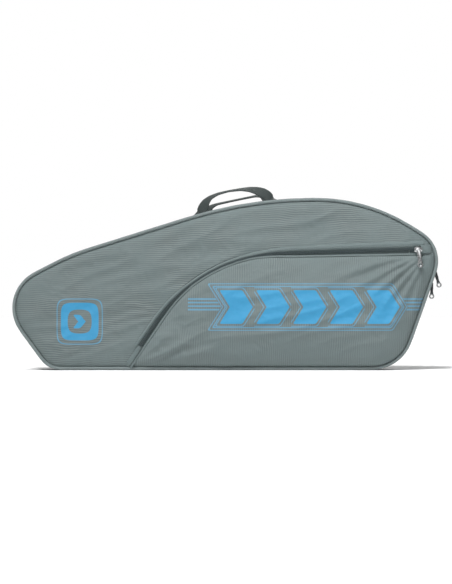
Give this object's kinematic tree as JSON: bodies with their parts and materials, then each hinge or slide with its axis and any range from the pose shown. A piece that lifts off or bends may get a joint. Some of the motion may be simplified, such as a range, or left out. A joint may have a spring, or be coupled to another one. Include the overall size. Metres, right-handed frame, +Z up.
{
  "type": "racket bag",
  "caption": "Long asymmetric zipped racket bag with piped edges, a gusset, a zipped front pocket that opens, a fold-down front, and webbing hand loops on top.",
  "frame": {"origin": "middle of the flat underside that the bag stands on", "axes": "+Z up, +X along the bag towards its wide end where the zip pulls hang, -Y out of the front with the pocket"},
  "size_m": [0.7538, 0.1002, 0.3193],
  "materials": {
    "shell_cloth": "woven polyester, dull sheen",
    "gusset_cloth": "woven polyester",
    "piping": "bias-cut polyester over a cord",
    "webbing": "woven polypropylene webbing",
    "zip_tape": "woven zip tape",
    "zip_coil": "nylon coil",
    "foam": "polyethylene foam sheet",
    "lining": "silvered insulating film",
    "dark_metal": "gunmetal-plated zinc",
    "bright_metal": "nickel-plated zinc"
  },
  "bodies": {
    "back_shell": {"back_panel": "shell_cloth", "back_foam": "foam", "back_lining": "lining", "back_gusset": "gusset_cloth", "back_piping": "piping", "back_zip_tape": "zip_tape", "back_zip_coil": "zip_coil", "bottom_gusset": "gusset_cloth", "bottom_lining": "lining", "zip_end_tab_right": "gusset_cloth", "zip_end_tab_left": "gusset_cloth", "rear_loop_anchor_left": "webbing", "rear_loop_anchor_right": "webbing"},
    "front_shell": {"front_panel": "shell_cloth", "front_foam": "foam", "front_lining": "lining", "front_gusset": "gusset_cloth", "front_piping": "piping", "front_zip_tape": "zip_tape", "front_zip_coil": "zip_coil", "pocket_zip_tape_upper": "zip_tape", "pocket_zip_coil_upper": "zip_coil", "pocket_zip_tape_lower_end": "zip_tape", "pocket_zip_coil_lower_end": "zip_coil", "pocket_zip_welt": "shell_cloth", "pocket_tab_left": "piping", "pocket_tab_right": "piping", "pocket_body": "shell_cloth", "front_loop_anchor_left": "webbing", "front_loop_anchor_right": "webbing"},
    "pocket_lip": {"pocket_lip": "shell_cloth", "pocket_zip_tape_lower": "zip_tape", "pocket_zip_coil_lower": "zip_coil"},
    "pocket_slider": {"pocket_slider": "bright_metal"},
    "pocket_pull": {"pocket_pull": "bright_metal"},
    "upper_slider": {"upper_slider": "dark_metal"},
    "upper_pull": {"upper_pull": "dark_metal"},
    "lower_slider": {"lower_slider": "dark_metal"},
    "lower_pull": {"lower_pull": "dark_metal"},
    "front_loop": {"front_loop": "webbing"},
    "rear_loop": {"rear_loop": "webbing"}
  },
  "joints": [
    {"name": "front_opening", "type": "hinge", "parent": "back_shell", "child": "front_shell", "pos_m": [0, -0.0338, 0.0035], "axis": [1, 0, 0], "range_deg": [0, 60]},
    {"name": "pocket_lip_fold", "type": "hinge", "parent": "front_shell", "child": "pocket_lip", "pos_m": [-0.14466, -0.0436, 0.03974], "axis": [0.9426, 0, 0.3338], "range_deg": [0, 40]},
    {"name": "pocket_zip_slide", "type": "slide", "parent": "front_shell", "child": "pocket_slider", "axis": [-0.9995, 0, -0.03], "range_m": [0, 0.235]},
    {"name": "pocket_pull_swing", "type": "hinge", "parent": "pocket_slider", "child": "pocket_pull", "pos_m": [0.336, -0.049, 0.21077], "axis": [-0.9995, 0, -0.03], "range_deg": [0, 140]},
    {"name": "upper_zip_travel", "type": "hinge", "parent": "back_shell", "child": "upper_slider", "pos_m": [0.31225, 0, 0.19099], "axis": [0, -1, 0], "range_deg": [0, 62]},
    {"name": "upper_pull_swing", "type": "hinge", "parent": "upper_slider", "child": "upper_pull", "pos_m": [0.37059, 0, 0.1706], "axis": [0, -1, 0], "range_deg": [-5, 140]},
    {"name": "lower_zip_travel", "type": "slide", "parent": "back_shell", "child": "lower_slider", "axis": [-0.3351, 0, -0.9422], "range_m": [0, 0.095]},
    {"name": "lower_pull_swing", "type": "hinge", "parent": "lower_slider", "child": "lower_pull", "pos_m": [0.3638, 0, 0.1514], "axis": [0, -1, 0], "range_deg": [-15, 30]},
    {"name": "front_loop_swing", "type": "hinge", "parent": "front_shell", "child": "front_loop", "pos_m": [-0.04318, -0.018, 0.27591], "axis": [0.983, 0, 0.1838], "range_deg": [-12, 45]},
    {"name": "rear_loop_swing", "type": "hinge", "parent": "back_shell", "child": "rear_loop", "pos_m": [-0.02216, 0.018, 0.28153], "axis": [0.9847, 0, 0.1742], "range_deg": [-40, 30]}
  ]
}
